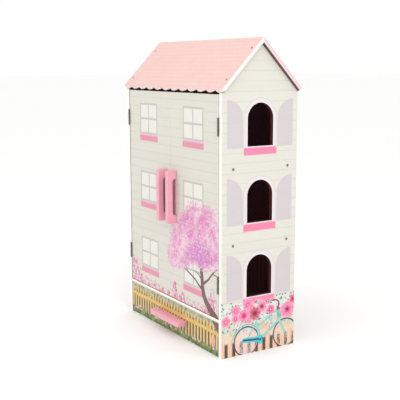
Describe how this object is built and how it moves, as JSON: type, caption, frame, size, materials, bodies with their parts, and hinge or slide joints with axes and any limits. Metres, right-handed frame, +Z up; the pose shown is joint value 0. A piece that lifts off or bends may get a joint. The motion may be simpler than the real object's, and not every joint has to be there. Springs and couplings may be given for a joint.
{
  "type": "wooden dollhouse",
  "caption": "Tall gabled wooden dollhouse with scalloped pitched roof, arched side windows, hinged front doors, stacked rooms behind them and a pull-out drawer below.",
  "frame": {"origin": "centre of the side walls' footprint, on the surface the house stands on", "axes": "+X to the right across the front, +Y to the back panel, so the doors face -Y, +Z up to the ridge"},
  "size_m": [0.522, 0.266, 0.7998],
  "materials": {
    "wall_paint": "satin off-white paint with printed shutters, sills, flowers and a bicycle",
    "front_print": "satin printed boards: windows, blossom tree, flowers and a picket fence",
    "roof_paint": "satin pale pink with faint rows of tiles",
    "floor_paint": "satin white paint",
    "back_board": "plain board, off-white",
    "handle_paint": "satin pink paint",
    "drawer_wood": "plain board",
    "zinc_screws": "zinc plated",
    "hinge_steel": "plain steel, slightly dark"
  },
  "bodies": {
    "house": {"back_panel": "back_board", "base_board": "floor_paint", "first_floor": "floor_paint", "floor_screw_left_first_front": "zinc_screws", "floor_screw_left_first_rear": "zinc_screws", "floor_screw_left_second_front": "zinc_screws", "floor_screw_left_second_rear": "zinc_screws", "floor_screw_right_first_front": "zinc_screws", "floor_screw_right_first_rear": "zinc_screws", "floor_screw_right_second_front": "zinc_screws", "floor_screw_right_second_rear": "zinc_screws", "ground_floor": "floor_paint", "hinge_left_lower_frame_leaf": "hinge_steel", "hinge_left_lower_pin": "hinge_steel", "hinge_left_upper_frame_leaf": "hinge_steel", "hinge_left_upper_pin": "hinge_steel", "hinge_right_lower_frame_leaf": "hinge_steel", "hinge_right_lower_pin": "hinge_steel", "hinge_right_upper_frame_leaf": "hinge_steel", "hinge_right_upper_pin": "hinge_steel", "roof_front": "roof_paint", "roof_rear": "roof_paint", "roof_screw_front_left_eave": "zinc_screws", "roof_screw_front_left_ridge": "zinc_screws", "roof_screw_front_right_eave": "zinc_screws", "roof_screw_front_right_ridge": "zinc_screws", "roof_screw_rear_left_eave": "zinc_screws", "roof_screw_rear_left_ridge": "zinc_screws", "roof_screw_rear_right_eave": "zinc_screws", "roof_screw_rear_right_ridge": "zinc_screws", "second_floor": "floor_paint", "side_wall_left": "wall_paint", "side_wall_right": "wall_paint"},
    "door_left": {"door_handle_left": "handle_paint", "door_handle_left_screw_lower": "zinc_screws", "door_handle_left_screw_upper": "zinc_screws", "door_left": "front_print", "hinge_left_lower_door_leaf": "hinge_steel", "hinge_left_upper_door_leaf": "hinge_steel"},
    "door_right": {"door_handle_right": "handle_paint", "door_handle_right_screw_lower": "zinc_screws", "door_handle_right_screw_upper": "zinc_screws", "door_right": "front_print", "hinge_right_lower_door_leaf": "hinge_steel", "hinge_right_upper_door_leaf": "hinge_steel"},
    "drawer": {"drawer_back": "drawer_wood", "drawer_bottom": "drawer_wood", "drawer_front": "front_print", "drawer_handle": "handle_paint", "drawer_handle_screw_left": "zinc_screws", "drawer_handle_screw_right": "zinc_screws", "drawer_screw_left_lower": "zinc_screws", "drawer_screw_left_upper": "zinc_screws", "drawer_screw_right_lower": "zinc_screws", "drawer_screw_right_upper": "zinc_screws", "drawer_side_left": "drawer_wood", "drawer_side_right": "drawer_wood"}
  },
  "joints": [
    {"name": "door_left_hinge", "type": "hinge", "parent": "house", "child": "door_left", "pos_m": [-0.23675, -0.1175, 0.38239], "axis": [0, 0, -1], "range_deg": [0, 175]},
    {"name": "door_right_hinge", "type": "hinge", "parent": "house", "child": "door_right", "pos_m": [0.23675, -0.1175, 0.38239], "axis": [0, 0, 1], "range_deg": [0, 175]},
    {"name": "drawer_slide", "type": "slide", "parent": "house", "child": "drawer", "axis": [0, -1, 0], "range_m": [0, 0.15]}
  ]
}
